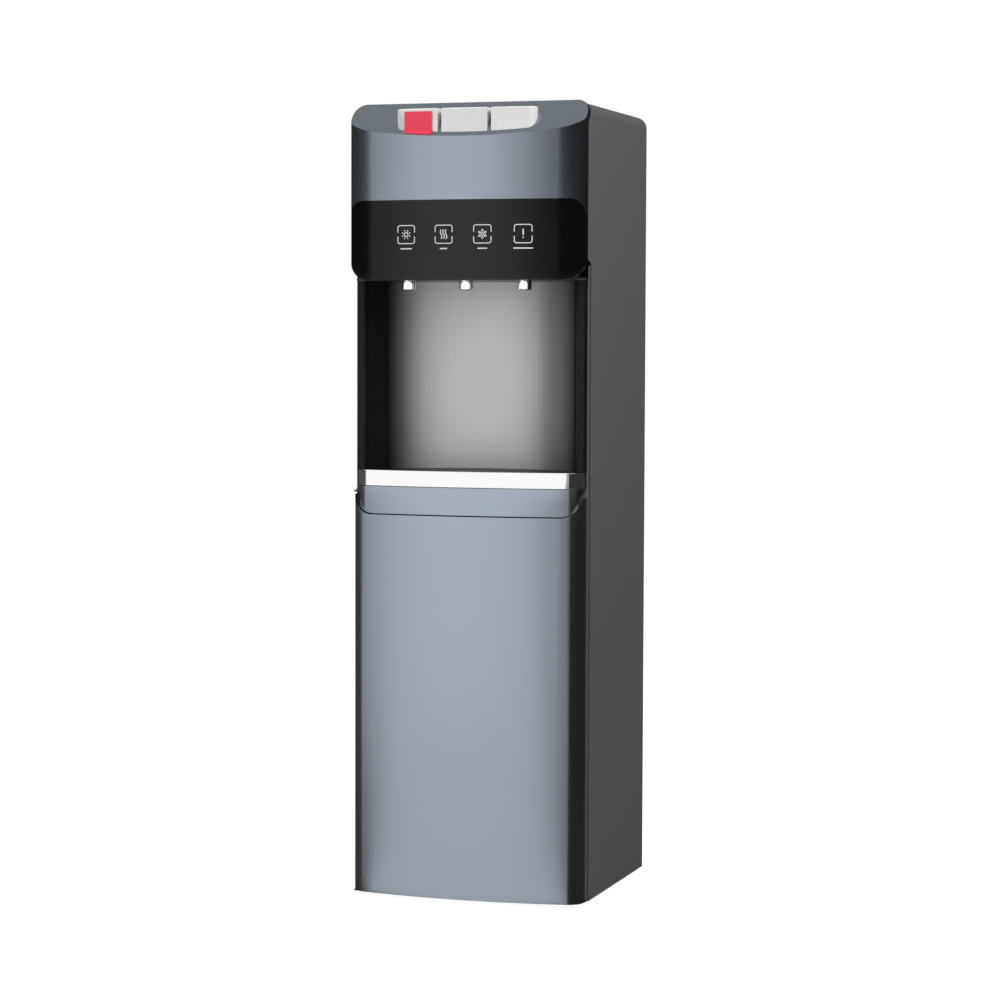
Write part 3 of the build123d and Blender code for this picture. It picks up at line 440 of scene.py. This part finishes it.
def seen_directly(tree):
    """1 for rays that show the background: from the camera, in a mirror or through glass."""
    path = tree.nodes.new("ShaderNodeLightPath")
    seen = math_node(tree, "MAXIMUM", path.outputs["Is Camera Ray"], path.outputs["Is Glossy Ray"])
    return math_node(tree, "MAXIMUM", seen, path.outputs["Is Transmission Ray"])


def mixed(tree, out, lit, seen):
    """Feeds an output from one shader for light and another for rays that show the background."""
    mix = tree.nodes.new("ShaderNodeMixShader")
    tree.links.new(seen_directly(tree), mix.inputs[0])
    tree.links.new(lit.outputs[0], mix.inputs[1])
    tree.links.new(seen.outputs[0], mix.inputs[2])
    tree.links.new(mix.outputs[0], out.inputs["Surface"])


def bare_material(name):
    """Material with nothing but its output."""
    material = bpy.data.materials.new(name)
    material.use_nodes = True
    tree = material.node_tree
    tree.nodes.clear()
    return material, tree, tree.nodes.new("ShaderNodeOutputMaterial")


def floor_material():
    """White floor that keeps the object's shadow."""
    plain_level, faint_level, glow_level = 0.2, 0.22, 0.93
    material, tree, out = bare_material("floor")
    plain = tree.nodes.new("ShaderNodeBsdfDiffuse")
    plain.inputs["Color"].default_value = (plain_level, plain_level, plain_level, 1)
    faint = tree.nodes.new("ShaderNodeBsdfDiffuse")
    faint.inputs["Color"].default_value = (faint_level, faint_level, faint_level, 1)
    glow = tree.nodes.new("ShaderNodeEmission")
    glow.inputs["Strength"].default_value = glow_level
    both = tree.nodes.new("ShaderNodeAddShader")
    tree.links.new(faint.outputs[0], both.inputs[0])
    tree.links.new(glow.outputs[0], both.inputs[1])
    mixed(tree, out, plain, both)
    return material


floor_reach = 30.0
square = [(-1, -1), (1, -1), (1, 1), (-1, 1)]
floor_corners = [(x * floor_reach, y * floor_reach, 0) for x, y in square]
stage_piece("floor", floor_corners, [(0, 1, 2, 3)], floor_material())


# Studio cards, which only show in reflections

card_reach = 1.6
card_base = 0.001
card_split = 0.72
card_top = 2.3


def card_material(name, strength):
    material, tree, out = bare_material(name)
    glow = tree.nodes.new("ShaderNodeEmission")
    glow.inputs["Strength"].default_value = strength
    tree.links.new(glow.outputs[0], out.inputs["Surface"])
    return material, tree, glow


def window_material(name, opening, left, right):
    """Card with a bright window; opening lists the azimuths where it starts, is full, fades and ends.

    Left and right are the levels beside the window.
    """
    material, tree, glow = card_material(name, 1)
    axes = object_axes(tree)
    ahead = math_node(tree, "MULTIPLY", axes["Y"], -1)
    azimuth = math_node(tree, "ARCTAN2", axes["X"], ahead)
    turns = [math.radians(angle) for angle in opening]
    rise = map_range(tree, azimuth, turns[:2], (left, 1))
    fall = map_range(tree, azimuth, turns[2:], (1, right))
    for fade in (rise, fall):
        fade.interpolation_type = "SMOOTHSTEP"
    level = math_node(tree, "MULTIPLY", rise.outputs["Result"], fall.outputs["Result"])
    tree.links.new(level, glow.inputs["Strength"])
    return material


def reflection_card(name, verts, faces, material):
    card = stage_piece(name, verts, faces, material)
    card.visible_camera = False
    card.visible_diffuse = False
    card.visible_shadow = False
    card.visible_transmission = False
    card.visible_volume_scatter = False


def flat_card(name, corners, height, material):
    reflection_card(name, [(x, y, height) for x, y in corners], [tuple(range(len(corners)))], material)


def ring_card(name, low, high, material):
    """Card all round the object between two heights."""
    count = 96
    verts = []
    for index in range(count):
        angle = 2 * math.pi * index / count
        for height in (low, high):
            verts.append((card_reach * math.sin(angle), -card_reach * math.cos(angle), height))
    total = 2 * count
    faces = [(i, i + 1, (i + 3) % total, (i + 2) % total) for i in range(0, total, 2)]
    reflection_card(name, verts, faces, material)


upper_window = window_material("upper_window", (-43, -22, -13, 2), 0.045, 0.026)
lower_window = window_material("lower_window", (-56, -32, 0, 17), 0.075, 0.033)
ring_card("upper_card", card_split, card_top, upper_window)
ring_card("lower_card", card_base, card_split, lower_window)
dark_floor = card_material("dark_floor", 0.035)[0]
dim_floor = card_material("dim_floor", 0.065)[0]
pale_floor = card_material("pale_floor", 0.8)[0]
left_foot, right_foot = (-0.14, -0.165), (0.145, -0.17)
left_near, right_near = (-0.162, -0.19), (0.147, -0.19)
left_far, right_far = (-1.385, -card_reach), (0.245, -card_reach)
rear_line = 0.18
left_rear, right_rear = (left_foot[0], card_reach), (right_foot[0], card_reach)
left_outer = [(-card_reach, -card_reach), (-card_reach, card_reach)]
right_outer = [(card_reach, -card_reach), (card_reach, card_reach)]
flat_card("right_floor", [right_foot, right_far, *right_outer, right_rear], card_base, dark_floor)
flat_card("left_floor", [left_foot, left_far, *left_outer, left_rear], card_base, dim_floor)
behind = [(left_foot[0], rear_line), (right_foot[0], rear_line), right_rear, left_rear]
flat_card("rear_floor", behind, card_base, dark_floor)
flat_card("near_floor", [left_foot, right_foot, right_near, left_near], card_base, dark_floor)
flat_card("front_floor", [left_near, right_near, right_far, left_far], card_base, pale_floor)
mouth_light = card_material("alcove_card", 1.0)[0]
mouth_y = -0.26
strip_low, strip_high, hood_low = 0.532, 0.564, 0.816
for name, left, right, low, high in (
    ("alcove_card", -0.42, 0.30, strip_high, hood_low), ("trim_card", -0.25, 0.146, strip_low, strip_high)
):
    corners = [(left, mouth_y, low), (right, mouth_y, low), (right, mouth_y, high), (left, mouth_y, high)]
    reflection_card(name, corners, [(0, 1, 2, 3)], mouth_light)
ceiling = card_material("ceiling_card", 0.40)[0]
flat_card("ceiling_card", [(x * card_reach, y * card_reach) for x, y in square], card_top, ceiling)


# World and lamps

def background(tree, strength):
    node = tree.nodes.new("ShaderNodeBackground")
    node.inputs["Color"].default_value = (1, 1, 1, 1)
    node.inputs["Strength"].default_value = strength
    return node


ambient_level, backdrop_level = 0.5, 1.0
world = bpy.data.worlds.new("studio")
scene.world = world
world.use_nodes = True
tree = world.node_tree
tree.nodes.clear()
mixed(
    tree, tree.nodes.new("ShaderNodeOutputWorld"), background(tree, ambient_level),
    background(tree, backdrop_level),
)


def softbox(name, place, aim, size, power):
    light = bpy.data.lights.new(name, "AREA")
    light.shape = "RECTANGLE"
    light.size, light.size_y = size
    light.energy = power
    lamp = bpy.data.objects.new(name, light)
    lamp.location = place
    lamp.rotation_euler = (Vector(aim) - Vector(place)).to_track_quat("-Z", "Y").to_euler()
    lamp.visible_glossy = False
    lamp.visible_camera = False
    scene.collection.objects.link(lamp)


softbox("key", (-1.4, -2.6, 2.4), (0, 0, 0.6), (1.6, 1.8), 63)
softbox("fill", (1.9, -0.8, 2.5), (0, 0, 0.9), (1.2, 1.2), 71)
softbox("rear", (-0.9, 2.6, 2.2), (0, 0, 0.6), (1.6, 1.6), 55)


# Camera

azimuth = math.radians(18.076)
elevation = math.radians(3.153)
roll = math.radians(0.197)
camera_place = (1.20330, -3.69540, 0.73632)
focal_length, sensor_width = 103.707, 36
back = Vector((
    math.sin(azimuth) * math.cos(elevation), -math.cos(azimuth) * math.cos(elevation), math.sin(elevation)
))
level = Vector((math.cos(azimuth), math.sin(azimuth), 0))
above = back.cross(level)
right = math.cos(roll) * level + math.sin(roll) * above
up = math.cos(roll) * above - math.sin(roll) * level
turned = Matrix((right, up, back)).transposed().to_4x4()
lens = bpy.data.cameras.new("camera")
lens.lens = focal_length
lens.sensor_width = sensor_width
lens.clip_start = 0.1
lens.clip_end = 200
camera = bpy.data.objects.new("camera", lens)
camera.matrix_world = Matrix.Translation(camera_place) @ turned
scene.collection.objects.link(camera)
scene.camera = camera
scene.view_settings.view_transform = "Standard"

low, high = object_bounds()
